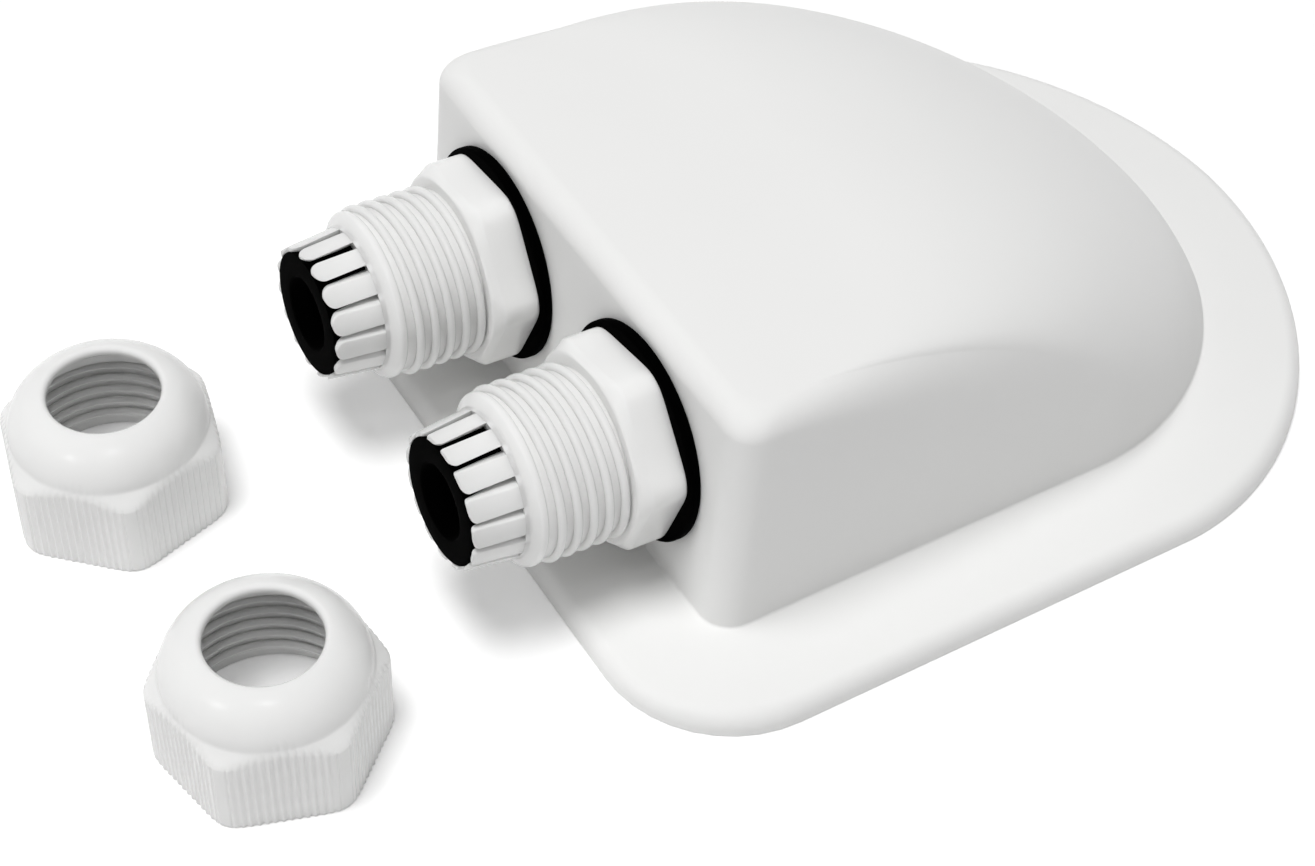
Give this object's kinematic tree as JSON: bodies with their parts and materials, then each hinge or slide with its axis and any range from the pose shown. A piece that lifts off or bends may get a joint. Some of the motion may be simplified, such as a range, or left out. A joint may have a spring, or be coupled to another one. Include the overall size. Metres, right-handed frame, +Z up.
{
  "type": "cable entry box for a roof",
  "caption": "White moulded roof box with a wide flange, a rounded back and cable glands in its front wall; the glands' dome nuts stand beside it.",
  "frame": {"origin": "on the roof plane, under the middle of the front wall's outer face, on the plane of symmetry of the housing", "axes": "+Z up from the roof, +X along the row of glands, -Y the way the glands point"},
  "size_m": [0.104, 0.1728, 0.0372],
  "materials": {
    "housing_plastic": "satin moulded ABS, white",
    "gland_nylon": "moulded nylon, white, soft gloss",
    "seal_rubber": "matt black rubber"
  },
  "bodies": {
    "root": {"housing": "housing_plastic", "left_gland_body": "gland_nylon", "right_gland_body": "gland_nylon", "left_sealing_washer": "seal_rubber", "right_sealing_washer": "seal_rubber", "left_seal_insert": "seal_rubber", "right_seal_insert": "seal_rubber", "left_lock_nut": "gland_nylon", "right_lock_nut": "gland_nylon", "left_dome_nut": "gland_nylon", "right_dome_nut": "gland_nylon"}
  },
  "joints": []
}
